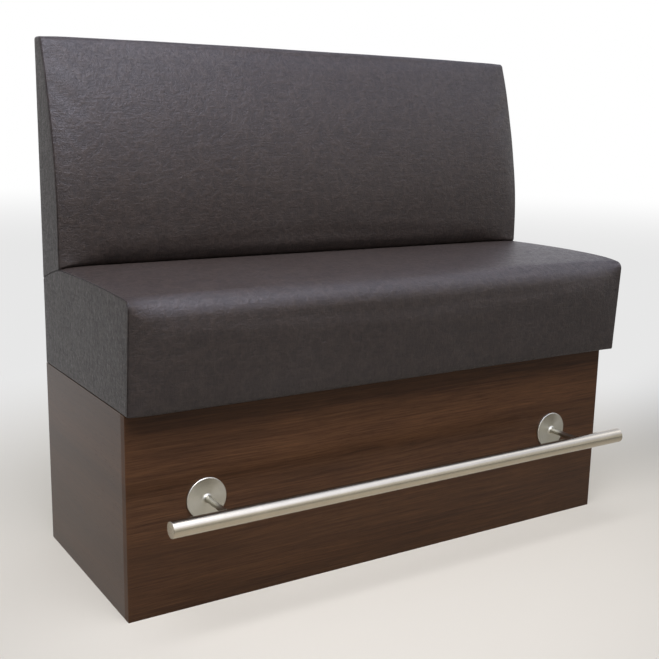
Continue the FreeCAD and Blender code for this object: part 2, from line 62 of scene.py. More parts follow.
# Seat outline. A pair gives the left seam's value and the right seam's.
FRONT_OVERHANG = 0.028
FRONT_LEAN = 0.008
WATERFALL_RADIUS = 0.045
SEAM_CORNER_RADIUS = (0.014, 0.011)
LOWER_EDGE_RADIUS = 0.008
SEAM_LOWER_RADIUS = 0.003
FRONT_EDGE_DROP = 0.009
SEAM_EDGE_DROP = 0.004
REAR_EDGE_DROP = 0.002
ROLL_DEPTH = 0.108
ROLL_DROP = 0.031
ROLL_MIDDLE_SHARE = 0.5
ROLL_MIDDLE_DROP_SHARE = 0.42
SEAT_TOP_DRAW = (0.005, 0.001)
SEAT_FRONT_DRAW_LOW = (0.012, 0.002)
SEAT_FRONT_DRAW_HIGH = (0.004, 0.001)
NOSE_DROP = (0.002, 0.009)
NOSE_DEPTH = 0.032
# Points on each stretch of the outline, in its order
SEAT_BOTTOM_STEPS = 34
LOWER_EDGE_STEPS = 4
FACE_STEPS = 14
WATERFALL_STEPS = 10
SEAT_TOP_STEPS = 28
ROLL_STEPS = 10
SEAT_REAR_STEPS = 14

# Back outline
BACK_GAP = 0.0006
BACK_SEAM_PRESS = 0.0022
BACK_CROWN = 0.012
BACK_TOP_CROWN_SHARE = 1 / 3
BACK_TOP_LEVEL = 1.0820
BACK_TOP_ARCH = 0.0030
BACK_TOP_DRAW = 0.0045
BACK_TOP_RADIUS = 0.012
BACK_REAR_RADIUS = 0.006
BACK_FOOT_RADIUS = 0.036
BACK_FOOT_FULL_AT = 0.12
BACK_SEAM_FOOT_RADIUS = 0.007
# Four heights, how far the front lies before the rear there, and its slope
BACK_LEVELS = (0.640, 0.7594, 0.906, 1.068)
BACK_DEPTHS = (0.110, 0.110, 0.087, 0.040)
BACK_SLOPES = (0.0, -0.06, -0.25, -0.40)
# Between these levels the right seam goes from the full crown to the drawn one
BACK_FULL_FOOT_LEVELS = (0.640, 0.860)
BACK_BOTTOM_STEPS = 10
FOOT_STEPS = 6
BACK_FRONT_STEPS = 34
SHOULDER_STEPS = 5
BACK_TOP_STEPS = 3
BACK_REAR_EDGE_STEPS = 4
BACK_REAR_STEPS = 34

# How the long panel is drawn in towards its side seams, and where its rings lie
DRAW_LENGTH = 0.0155
SEAM_STATIONS = (0.0, 0.010, 0.014, 0.019, 0.026, 0.034, 0.044, 0.056, 0.072, 0.090, 0.110)
MIDDLE_SPACING = 0.0125
RIGHT_SPREAD = 0.0025
CORNER_SUPPORT = 0.0018

# A seam's section: how far each ring lies along its own panel and down the other
SEAM_SECTION = (
    (0.0046, 0.0040),
    (0.0024, 0.0019),
    (0.0015, 0.0011),
    (0.0018, 0.0003),
    (0.0032, 0.0),
    (0.0060, 0.0),
)

# Side panels: rings inside the seam, then an open mesh of points
SIDE_STEPS = (0.0100, 0.0150, 0.0220)
SIDE_STEP_SHARES = (0.35, 0.5, 0.65)
SIDE_SPACING = 0.012
SIDE_RISE_LENGTH = 0.018
SIDE_CLEAR_SHARE = 0.6
TRIANGLE_TOLERANCE = 1e-7
# The line that a side panel is drawn in towards, and how far its middle bulges
SEAT_SPINE = ((0.085, 0.508), (0.345, 0.506))
SEAT_BULGE = 0.0015
BACK_SPINE = ((0.402, 0.660), (0.433, 1.055))
BACK_BULGE = 0.0006

# Unevenness of the covers: each wave's length and height
BROAD_WAVE = (0.16, 0.0009)
SMALL_WAVE = (0.05, 0.00025)
PUCKER_WAVE = (0.016, 0.0003)
SIDE_BROAD_WAVE = (0.07, 0.0005)
SIDE_SMALL_WAVE = (0.022, 0.00012)
# Waves fade towards the seams, and puckers lie in a strip beside them
WAVE_FADE = 0.05
SIDE_WAVE_FADE = 0.03
PUCKER_PLACE = 0.014
PUCKER_WIDTH = 0.012
SEAT_SEED = 1
BACK_SEED = 11
SEED_STEPS = (7.3, 3.1, 5.7)


def smooth_noise(point, size, seed):
    """A seeded noise from -1 to 1 whose waves are about as long as the size."""
    return noise.noise(Vector(point) / size + Vector([seed * step for step in SEED_STEPS]))


def waves(point, wave, seed):
    """The height at a point of a noise with some wave length and height."""
    length, height = wave
    return smooth_noise(point, length, seed) * height


# Outlines in the plane across the bench, as arrays of (y, z)


def straight(start, end, count, sharp_start=False, sharp_end=False):
    """Points after the start, up to and with the end, and one close to a sharp end."""
    start, end = np.array(start), np.array(end)
    shares = np.linspace(0, 1, count + 1)[1:]
    support = CORNER_SUPPORT / np.linalg.norm(end - start)
    if sharp_start:
        shares = np.concatenate([[support], shares])
    if sharp_end:
        shares = np.concatenate([shares[:-1], [1 - support, 1]])
    return start + (end - start) * shares[:, None]


def curve_through(start, middle, end, count):
    """Points of the circle through three points, after the start."""
    a, b, c = (np.array(p, float) for p in (start, middle, end))
    rows = np.array([b - a, c - a]) * 2
    sums = np.array([b @ b - a @ a, c @ c - a @ a])
    centre = np.linalg.solve(rows, sums)
    first, mid, last = (math.atan2(*(p - centre)[::-1]) for p in (a, b, c))
    turn = (mid - first + math.pi) % (2 * math.pi) - math.pi
    rest = (last - mid + math.pi) % (2 * math.pi) - math.pi
    angles = first + (turn + rest) * np.linspace(0, 1, count + 1)[1:]
    radius = np.linalg.norm(a - centre)
    return centre + radius * np.stack([np.cos(angles), np.sin(angles)], -1)


def quarter(start, corner, end, count):
    """Points of a rounded corner between two points that lie a radius from it."""
    start, corner, end = (np.array(p, float) for p in (start, corner, end))
    inner = start + end - corner
    middle = inner + (corner - inner) / math.sqrt(2)
    return curve_through(start, middle, end, count)


def pick(pair, right):
    """The value of a pair that belongs to the right or the left seam."""
    return pair[1] if right else pair[0]


def seat_top(draw, right):
    """The seat's line from the front face's top to the rear, drawn in by a share."""
    front_high = -FRONT_OVERHANG - FRONT_LEAN + pick(SEAT_FRONT_DRAW_HIGH, right) * draw
    crest = SEAT_HEIGHT - pick(SEAT_TOP_DRAW, right) * draw
    front_edge = crest - FRONT_EDGE_DROP * (1 - draw) - SEAM_EDGE_DROP * draw
    radius = WATERFALL_RADIUS * (1 - draw) + pick(SEAM_CORNER_RADIUS, right) * draw
    roll_start = DEPTH - ROLL_DEPTH
    rear_edge = crest - REAR_EDGE_DROP
    face_top = (front_high, front_edge - radius)
    top_start = (front_high + radius, front_edge)
    top_end = (roll_start, rear_edge)
    roll_end = (DEPTH, rear_edge - ROLL_DROP)
    top_middle = ((top_start[0] + roll_start) / 2, crest)
    roll_middle = (
        roll_start + ROLL_DEPTH * ROLL_MIDDLE_SHARE,
        rear_edge - ROLL_DROP * ROLL_MIDDLE_DROP_SHARE,
    )
    line = np.vstack([
        [face_top],
        quarter(face_top, (front_high, front_edge), top_start, WATERFALL_STEPS),
        curve_through(top_start, top_middle, top_end, SEAT_TOP_STEPS),
        curve_through(top_end, roll_middle, roll_end, ROLL_STEPS),
    ])
    nose = pick(NOSE_DROP, right) * draw
    line[:, 1] -= nose * np.exp(-(line[:, 0] - front_high) / NOSE_DEPTH)
    return line


def seat_outline(draw, right, _across):
    """The seat's closed outline, the same all across but for the draw at its seams."""
    front_low = -FRONT_OVERHANG + pick(SEAT_FRONT_DRAW_LOW, right) * draw
    small = LOWER_EDGE_RADIUS * (1 - draw) + SEAM_LOWER_RADIUS * draw
    top = seat_top(draw, right)
    floor_front = (front_low + small, BASE_HEIGHT)
    face_low = (front_low, BASE_HEIGHT + small)
    return np.vstack([
        straight((DEPTH, BASE_HEIGHT), floor_front, SEAT_BOTTOM_STEPS, True, True),
        quarter(floor_front, (front_low, BASE_HEIGHT), face_low, LOWER_EDGE_STEPS),
        straight(face_low, top[0], FACE_STEPS),
        top[1:],
        straight(top[-1], (DEPTH, BASE_HEIGHT), SEAT_REAR_STEPS, True, True),
    ])


def smooth_share(value, low, high):
    """From 0 at the low value to 1 at the high one, with soft ends."""
    t = min(max((value - low) / (high - low), 0), 1)
    return t * t * (3 - 2 * t)


def back_depth(height):
    """How far the back's front face lies in front of its rear, without the crown."""
    levels, depths, slopes = BACK_LEVELS, BACK_DEPTHS, BACK_SLOPES
    if height <= levels[0]:
        return depths[0]
    low = min(int(np.searchsorted(levels, height)) - 1, len(levels) - 2)
    span = levels[low + 1] - levels[low]
    t = (height - levels[low]) / span
    return (
        depths[low] * (2 * t**3 - 3 * t**2 + 1)
        + slopes[low] * span * (t**3 - 2 * t**2 + t)
        + depths[low + 1] * (3 * t**2 - 2 * t**3)
        + slopes[low + 1] * span * (t**3 - t**2)
    )


def back_crown(height, draw, right):
    """How far the front face stands proud of the seam line at a height."""
    if right:
        draw = draw * smooth_share(height, *BACK_FULL_FOOT_LEVELS)
    rise = smooth_share(height, BACK_LEVELS[2], BACK_LEVELS[3])
    return BACK_CROWN * (1 - draw) * (1 - (1 - BACK_TOP_CROWN_SHARE) * rise)


def back_outline(draw, right, across):
    """The back's closed outline at a share of the way across, drawn in by a share."""
    top = BACK_TOP_LEVEL - BACK_TOP_DRAW * draw - BACK_TOP_ARCH * (2 * across - 1) ** 2
    full = smooth_share(min(across, 1 - across) * WIDTH, 0, BACK_FOOT_FULL_AT)
    radius = BACK_FOOT_RADIUS * full + BACK_SEAM_FOOT_RADIUS * (1 - full)
    seat_line = seat_top(draw, right)[WATERFALL_STEPS:]
    gap = BACK_GAP - BACK_SEAM_PRESS * draw

    def seat_level(y):
        return float(np.interp(y, seat_line[:, 0], seat_line[:, 1])) + gap

    shoulder_level = top - BACK_TOP_RADIUS
    foot = DEPTH - BACK_DEPTHS[0] - back_crown(SEAT_HEIGHT, draw, right)
    foot_low = (foot + radius, seat_level(foot + radius))
    foot_high = (foot, seat_level(foot) + radius)
    rear_low = (DEPTH, seat_level(DEPTH))
    bottom = [(DEPTH - CORNER_SUPPORT, rear_low[1] + CORNER_SUPPORT / 2)]
    for y in np.linspace(DEPTH, foot_low[0], BACK_BOTTOM_STEPS + 1)[1:]:
        bottom.append((y, seat_level(y)))
    front = []
    for level in np.linspace(foot_high[1], shoulder_level, BACK_FRONT_STEPS + 1)[1:]:
        front.append((DEPTH - back_depth(level) - back_crown(level, draw, right), level))
    shoulder = front[-1]
    top_start = (shoulder[0] + BACK_TOP_RADIUS, top)
    top_end = (DEPTH - BACK_REAR_RADIUS, top)
    rear_high = (DEPTH, top - BACK_REAR_RADIUS)
    return np.vstack([
        bottom,
        quarter(foot_low, (foot, foot_low[1]), foot_high, FOOT_STEPS),
        front,
        quarter(shoulder, (shoulder[0], top), top_start, SHOULDER_STEPS),
        straight(top_start, top_end, BACK_TOP_STEPS),
        quarter(top_end, (DEPTH, top), rear_high, BACK_REAR_EDGE_STEPS),
        straight(rear_high, rear_low, BACK_REAR_STEPS, sharp_end=True),
    ])


def station_places():
    """Where the long panel's rings lie across the bench, closer at the seams."""
    inner = SEAM_STATIONS[-1]
    count = round((WIDTH - 2 * inner) / MIDDLE_SPACING)
    middle = np.linspace(inner, WIDTH - inner, count + 1)[1:-1]
    near = list(SEAM_STATIONS)
    return np.array(near + list(middle) + [WIDTH - x for x in reversed(near)])


def long_panel_rings(outline, places):
    """The long panel's surface as rings of points, one for each place across."""
    rings = []
    for x in places:
        draw = math.exp(-min(x, WIDTH - x) / DRAW_LENGTH)
        right = x > WIDTH / 2
        ring = outline(draw, right, x / WIDTH)
        rings.append(np.column_stack([np.full(len(ring), x + right * RIGHT_SPREAD * draw), ring]))
    return np.array(rings)


def unit(vectors):
    """Directions of length one."""
    return vectors / np.maximum(np.linalg.norm(vectors, axis=-1, keepdims=True), TINY)


def ring_normals(rings):
    """Outward directions at the points of closed rings."""
    along = np.roll(rings, -1, 1) - np.roll(rings, 1, 1)
    across = np.gradient(rings, axis=0)
    return unit(np.cross(across, along))


# Cloth

CLOTH_ROOM = 0.0012
CLOTH_CAP = 0.0020
CLOTH_FRAMES = 20
CLOTH_SETTINGS = {
    "quality": 5,
    "mass": 0.3,
    "tension_stiffness": 15,
    "compression_stiffness": 15,
    "shear_stiffness": 5,
    "bending_stiffness": 0.5,
    "use_pressure": True,
    "uniform_pressure_force": 2.0,
    "vertex_group_mass": "held",
}


def relax(rings, held):
    """Blow the cover up as cloth that is held at some points, by no more than a cap."""
    count, size = rings.shape[:2]
    mesh = bpy.data.meshes.new("relaxed")
    mesh.from_pydata(rings.reshape(-1, 3).tolist(), [], ring_faces(count, size))
    piece = bpy.data.objects.new("relaxed", mesh)
    bpy.context.scene.collection.objects.link(piece)
    group = piece.vertex_groups.new(name="held")
    weights = held.reshape(-1)
    for weight in np.unique(weights):
        if weight > 0:
            group.add(np.flatnonzero(weights == weight).tolist(), float(weight), "REPLACE")
    cloth = piece.modifiers.new("cloth", "CLOTH")
    for key, value in CLOTH_SETTINGS.items():
        setattr(cloth.settings, key, value)
    cloth.settings.effector_weights.gravity = 0
    cloth.collision_settings.use_collision = False
    cloth.collision_settings.use_self_collision = False
    scene = bpy.context.scene
    for number in range(1, CLOTH_FRAMES + 1):
        scene.frame_set(number)
    evaluated = piece.evaluated_get(bpy.context.evaluated_depsgraph_get())
    made = evaluated.to_mesh()
    moved = np.empty(count * size * 3)
    made.vertices.foreach_get("co", moved)
    evaluated.to_mesh_clear()
    bpy.data.objects.remove(piece)
    bpy.data.meshes.remove(mesh)
    scene.frame_set(1)
    shift = moved.reshape(rings.shape) - rings
    length = np.linalg.norm(shift, axis=2, keepdims=True)
    return rings + shift * (CLOTH_CAP * np.tanh(length / CLOTH_CAP) / np.maximum(length, TINY))


# Meshes


def ring_faces(count, size, flip=False):
    """Four-sided faces between neighbouring closed rings."""
    faces = []
    for ring in range(count - 1):
        for step in range(size):
            a = ring * size + step
            b = ring * size + (step + 1) % size
            face = (a, b, b + size, a + size)
            faces.append(face if flip else face[::-1])
    return faces


def add_piece(name, points, faces, material, levels=1, thickness=0.0):
    """A smooth mesh object in the frame's place, with its finishing modifiers."""
    mesh = bpy.data.meshes.new(name)
    mesh.from_pydata((np.asarray(points).reshape(-1, 3) + CORNER).tolist(), [], faces)
    mesh.shade_smooth()
    mesh.materials.append(material)
    piece = bpy.data.objects.new(name, mesh)
    bpy.context.scene.collection.objects.link(piece)
    if levels:
        smooth = piece.modifiers.new("smooth", "SUBSURF")
        smooth.levels = levels
        smooth.render_levels = levels
    if thickness:
        shell = piece.modifiers.new("shell", "SOLIDIFY")
        shell.thickness = thickness
        shell.offset = -1
    return piece


def seam_rings(seam, own_way, other_way):
    """Rings that round a panel's edge over into the seam, from the inside out."""
    return [seam + own_way * own + other_way * down for own, down in SEAM_SECTION]


def inside(points, loop):
    """Which points lie inside a closed loop, by counting crossings."""
    after = np.roll(loop, -1, 0)
    odd = np.zeros(len(points), bool)
    for (y0, z0), (y1, z1) in zip(loop, after):
        if z0 == z1:
            continue
        crosses = (points[:, 1] > min(z0, z1)) & (points[:, 1] <= max(z0, z1))
        odd ^= crosses & (points[:, 0] < y0 + (points[:, 1] - z0) * (y1 - y0) / (z1 - z0))
    return odd


def nearest(points, others):
    """Distance from each point to the nearest of some others."""
    return np.linalg.norm(points[:, None] - others[None], axis=2).min(1)


def side_panel(seam, spine, bulge, way, seed):
    """A side panel inside its seam: three rings, and points and triangles within."""
    low, high = (np.array(p) for p in spine)
    run = high - low
    t = np.clip(((seam[:, 1:] - low) @ run) / (run @ run), 0, 1)
    inward = low + run * t[:, None] - seam[:, 1:]
    room = np.linalg.norm(inward, axis=1, keepdims=True)
    loops = []
    for step, share in zip(SIDE_STEPS, SIDE_STEP_SHARES):
        loops.append(seam[:, 1:] + inward / room * np.minimum(step, share * room))
    last = loops[-1]
    rows = np.arange(last[:, 1].min(), last[:, 1].max(), SIDE_SPACING)
    spots = []
    for number, z in enumerate(rows):
        shift = SIDE_SPACING / 2 * (number % 2)
        columns = np.arange(last[:, 0].min(), last[:, 0].max(), SIDE_SPACING)
        spots += [(y + shift, z) for y in columns]
    spots = np.array(spots)
    spots = spots[inside(spots, last)]
    spots = spots[nearest(spots, last) > SIDE_SPACING * SIDE_CLEAR_SHARE]
    count = len(last)
    flat = [Vector(p) for p in np.vstack([last, spots])]
    edges = [(i, (i + 1) % count) for i in range(count)]
    # The fourth argument keeps only the triangles inside the loop
    _, _, triangles, sources, _, _ = geometry.delaunay_2d_cdt(flat, edges, [], 1, TRIANGLE_TOLERANCE)
    order = [source[0] for source in sources]
    triangles = [tuple(order[i] for i in face) for face in triangles]

    def raised(places):
        away = nearest(places, seam[:, 1:])
        rise = bulge * (1 - np.exp(-away / SIDE_RISE_LENGTH))
        broad = np.array([waves((0, *p), SIDE_BROAD_WAVE, seed) for p in places])
        small = np.array([waves((0, *p), SIDE_SMALL_WAVE, seed + 1) for p in places])
        x = seam[0, 0] + way * (rise + (broad + small) * np.minimum(away / SIDE_WAVE_FADE, 1))
        return np.column_stack([x, places])

    return [raised(loop) for loop in loops], raised(spots), triangles


def make_cushion(name, outline, spine, bulge, held_at, replaced, seed):
    """The three sewn panels of one cushion: a long one and one at each end."""
    places = station_places()
    rings = long_panel_rings(outline, places)
    held = held_at(rings)
    loose = 1 - held
    held[0] = held[-1] = 1.0
    rings -= ring_normals(rings) * (1 - held[:, :, None]) * CLOTH_ROOM
    rings = relax(rings, held)
    normals = ring_normals(rings)
    for ring, around, free in zip(rings, normals, loose):
        near = min(ring[0, 0], WIDTH - ring[0, 0])
        full = 1 - math.exp(-near / WAVE_FADE)
        pucker = math.exp(-((near - PUCKER_PLACE) / PUCKER_WIDTH) ** 2)
        for point, normal, share in zip(ring, around, free):
            rise = waves(point, BROAD_WAVE, seed) * full
            rise += waves(point, SMALL_WAVE, seed + 1) * full
            rise += waves((0, point[1], point[2]), PUCKER_WAVE, seed + 2) * pucker
            point += normal * rise * share

    size = rings.shape[1]
    pieces = []
    edges = []
    for end, inner, way, side in ((0, 1, -1.0, "left"), (-1, -2, 1.0, "right")):
        seam = rings[end]
        loops, spots, triangles = side_panel(seam, spine, bulge, way, seed + 3)
        own_way = unit(rings[inner] - seam)
        other_way = unit(loops[0] - seam)
        edges.append(seam_rings(seam, own_way, other_way))
        flip = side == "left"
        panel_rings = seam_rings(seam, other_way, own_way) + loops
        faces = ring_faces(len(panel_rings), size, flip)
        start = (len(panel_rings) - 1) * size
        points = np.vstack(panel_rings + [spots])
        for face in triangles:
            a, b, c = (points[start + i, 1:] for i in face)
            ahead = (b[0] - a[0]) * (c[1] - a[1]) - (b[1] - a[1]) * (c[0] - a[0]) > 0
            placed = tuple(start + i for i in face)
            faces.append(placed if ahead == (way > 0) else placed[::-1])
        piece = add_piece(
            name + "_side_panel_" + side, points, faces, LEATHERETTE, thickness=COVER_THICKNESS
        )
        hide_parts(*replaced[side])
        pieces.append(piece)

    long_rings = edges[0] + list(rings[1:-1]) + list(reversed(edges[1]))
    top = add_piece(
        name + "_long_panel",
        long_rings,
        ring_faces(len(long_rings), size),
        LEATHERETTE,
        thickness=COVER_THICKNESS,
    )
    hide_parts(*replaced["long"])
    pieces.append(top)
    for piece in pieces:
        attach(piece, "bench")


# Material helpers

# Where nearly all of a noise's values lie
NOISE_SPAN = (0.3, 0.7)
RIDGE_GAIN = 2.0
RIDGE_OFFSET = 0.9


class Paint:
    """A node material that is built from a few kinds of step."""

    def __init__(self, name):
        self.material = bpy.data.materials.new(name)
        self.material.use_nodes = True
        self.tree = self.material.node_tree
        self.tree.nodes.clear()
        output = self.tree.nodes.new("ShaderNodeOutputMaterial")
        self.shader = self.tree.nodes.new("ShaderNodeBsdfPrincipled")
        self.tree.links.new(self.shader.outputs[0], output.inputs["Surface"])
        self.output = output
        self.object_point = self.tree.nodes.new("ShaderNodeTexCoord").outputs["Object"]

    def feed(self, socket, value):
        if isinstance(value, bpy.types.NodeSocket):
            self.tree.links.new(value, socket)
        else:
            socket.default_value = value

    def node(self, kind, inputs=(), **settings):
        made = self.tree.nodes.new(kind)
        for key, value in settings.items():
            setattr(made, key, value)
        for key, value in dict(inputs).items():
            self.feed(made.inputs[key], value)
        return made

    def math(self, operation, first, second):
        return self.node("ShaderNodeMath", {0: first, 1: second}, operation=operation).outputs[0]

    def times(self, value, factor):
        return self.math("MULTIPLY", value, factor)

    def plus(self, first, second):
        return self.math("ADD", first, second)

    def weighted(self, *parts):
        """The sum of some values, each times its weight."""
        total = None
        for value, weight in parts:
            share = self.times(value, weight)
            total = share if total is None else self.plus(total, share)
        return total

    def cloud(self, point, scale, detail=2.0, roughness=0.5, distortion=0.0):
        """A soft noise with a scale in waves a metre."""
        made = self.node(
            "ShaderNodeTexNoise",
            {
                "Vector": point,
                "Scale": scale,
                "Detail": detail,
                "Roughness": roughness,
                "Distortion": distortion,
            },
        )
        return made.outputs[0]

    def grain(self, point, scales, **settings):
        """A soft noise with a scale of its own along each axis."""
        scaled = self.node("ShaderNodeMapping", {"Vector": point, "Scale": scales}).outputs[0]
        return self.cloud(scaled, 1.0, **settings)

    def cells(self, point, scale, feature="F1"):
        """Distance from the middles of scattered cells."""
        made = self.node("ShaderNodeTexVoronoi", {"Vector": point, "Scale": scale}, feature=feature)
        return made.outputs["Distance"]

    def stretch(self, value, low, high, out_low=0.0, out_high=1.0):
        """A value's span from low to high, spread over another span and kept in it."""
        made = self.node(
            "ShaderNodeMapRange",
            {"Value": value, "From Min": low, "From Max": high, "To Min": out_low, "To Max": out_high},
        )
        return made.outputs[0]

    def ramp(self, value, stops):
        """A colour that runs through stops of place and colour."""
        made = self.node("ShaderNodeValToRGB", {"Fac": value})
        elements = made.color_ramp.elements
        while len(elements) < len(stops):
            elements.new(0.5)
        for element, (place, colour) in zip(elements, stops):
            element.position = place
            element.color = (*colour, 1.0)
        return made.outputs[0]

    def mix(self, share, first, second):
        """A blend of two colours, sockets 6 and 7 of the node."""
        made = self.node("ShaderNodeMix", data_type="RGBA")
        self.feed(made.inputs[0], share)
        self.feed(made.inputs[6], first)
        self.feed(made.inputs[7], second)
        return made.outputs[2]

    def dimmed(self, colour, factor):
        """A colour times a plain factor."""
        made = self.node("ShaderNodeVectorMath", {0: colour}, operation="SCALE")
        self.feed(made.inputs["Scale"], factor)
        return made.outputs[0]

    def wander(self, point, scale, reach):
        """The point with a small wandering shift in all three directions."""
        shift = self.node("ShaderNodeTexNoise", {"Vector": point, "Scale": scale, "Detail": 2.0})
        made = self.node(
            "ShaderNodeVectorMath",
            {0: shift.outputs["Color"], 1: (reach,) * 3, 2: point},
            operation="MULTIPLY_ADD",
        )
        return made.outputs[0]

    def ridges(self, point, scale, detail, roughness):
        """Thin branching lines that stand out of a noise."""
        made = self.node(
            "ShaderNodeTexNoise",
            {
                "Vector": point,
                "Scale": scale,
                "Detail": detail,
                "Roughness": roughness,
                "Gain": RIDGE_GAIN,
                "Offset": RIDGE_OFFSET,
            },
            noise_type="RIDGED_MULTIFRACTAL",
        )
        return made.outputs[0]

    def bump(self, height, depth, strength, below=None):
        """Relief of a height field, in metres, on top of an earlier relief."""
        inputs = {"Height": height, "Distance": depth, "Strength": strength}
        if below is not None:
            inputs["Normal"] = below
        return self.node("ShaderNodeBump", inputs).outputs[0]

    def finish(self, **sockets):
        for key, value in sockets.items():
            self.feed(self.shader.inputs[key.replace("_", " ")], value)
        return self.material


LEATHER_TONES = (
    (0.0, (0.0362, 0.0258, 0.0204)),
    (0.5, (0.0384, 0.0279, 0.0223)),
    (1.0, (0.0406, 0.0301, 0.0246)),
)
LEATHER_SHADES = (0.66, 1.27)
LEATHER_ROUGHNESS = (0.54, 0.35)
LINE_SHARE = 0.75
VEIN_SHADE = 0.30
VEIN_SPAN = (0.75, 1.6)
# Where most of the summed creases lie
MOTTLE_SPAN = (0.95, 1.55)
# Depth and strength of each relief
CREASE_RELIEF = (0.0019, 0.45)
VEIN_RELIEF = (0.0005, 0.5)
PEBBLE_RELIEF = (0.0004, 0.5)
FINE_RELIEF = (0.00012, 0.35)


def leatherette_material():
    """Dark brown-grey coated cloth with a fine pebble, faint veins and creases."""
    paint = Paint("leatherette")
    point = paint.object_point
    broad = paint.cloud(point, 6.0, detail=3.0, roughness=0.55)
    patch = paint.cloud(point, 130.0, detail=4.0, roughness=0.66, distortion=0.5)
    level_lines = paint.grain(point, (45, 45, 210), detail=3.0, roughness=0.6, distortion=1.0)
    upright_lines = paint.grain(point, (210, 210, 50), detail=3.0, roughness=0.6, distortion=1.0)
    bent = paint.wander(point, 24.0, 0.018)
    veins = paint.ridges(bent, 33.0, 4.0, 0.6)
    pebble = paint.cells(point, 620.0, "SMOOTH_F1")
    fine = paint.cloud(point, 1300.0)

    tone = paint.ramp(paint.stretch(broad, *NOISE_SPAN), LEATHER_TONES)
    veins = paint.stretch(veins, *VEIN_SPAN)
    lines = paint.times(paint.plus(level_lines, upright_lines), LINE_SHARE)
    mottle = paint.plus(lines, patch)
    shade = paint.stretch(mottle, *MOTTLE_SPAN, *LEATHER_SHADES)
    shade = paint.plus(shade, paint.times(veins, VEIN_SHADE))
    colour = paint.dimmed(tone, shade)

    crease = paint.bump(mottle, *CREASE_RELIEF)
    crease = paint.bump(veins, *VEIN_RELIEF, crease)
    grain = paint.bump(pebble, *PEBBLE_RELIEF, crease)
    grain = paint.bump(fine, *FINE_RELIEF, grain)
    roughness = paint.stretch(mottle, *MOTTLE_SPAN, *LEATHER_ROUGHNESS)
    return paint.finish(
        Base_Color=colour,
        Roughness=roughness,
        Normal=grain,
        Specular_IOR_Level=0.34,
        Specular_Tint=(0.87, 0.92, 1.0, 1.0),
    )


# Dark eyes in the grain: place along the front, height, half length and half height
WALNUT_EYES = (
    (0.535, 0.251, 0.070, 0.0075),
    (0.650, 0.251, 0.050, 0.0055),
    (0.955, 0.262, 0.090, 0.0060),
    (0.455, 0.222, 0.060, 0.0040),
)
EYE_REACH = 0.25
EYE_PUSH = 0.45
EYE_DEPTH = 0.11
# The laminate's broad light and dark banding by height, as shares of its mean tone. The dark stop at
# the top is painted shade under the seat's overhang.
WALNUT_BANDS_AND_SHADE = (
    (0.0, 0.86),
    (0.11, 1.06),
    (0.275, 0.88),
    (0.51, 1.15),
    (0.625, 0.90),
    (0.74, 1.27),
    (0.85, 1.08),
    (0.96, 0.88),
)
WALNUT_BAND_RISE = 0.010
# The ramp holds each share divided by this, because a share may be over one
BAND_SCALE = 2.0
WALNUT_DRIFT = 0.022
WALNUT_TONES = (
    (0.0, (0.0565, 0.0240, 0.0107)),
    (0.45, (0.097, 0.0430, 0.0182)),
    (0.75, (0.122, 0.0556, 0.0230)),
    (1.0, (0.141, 0.0692, 0.0303)),
)
WALNUT_MEAN = 0.53
WALNUT_SPREAD = 0.14
WALNUT_LINE_CONTRAST = 0.34
WALNUT_ROUGHNESS_SPREAD = 0.035
PORE_SPAN = (0.60, 0.72)
PORE_CONTRAST = 0.50
PORE_TONE = (0.016, 0.008, 0.005, 1.0)


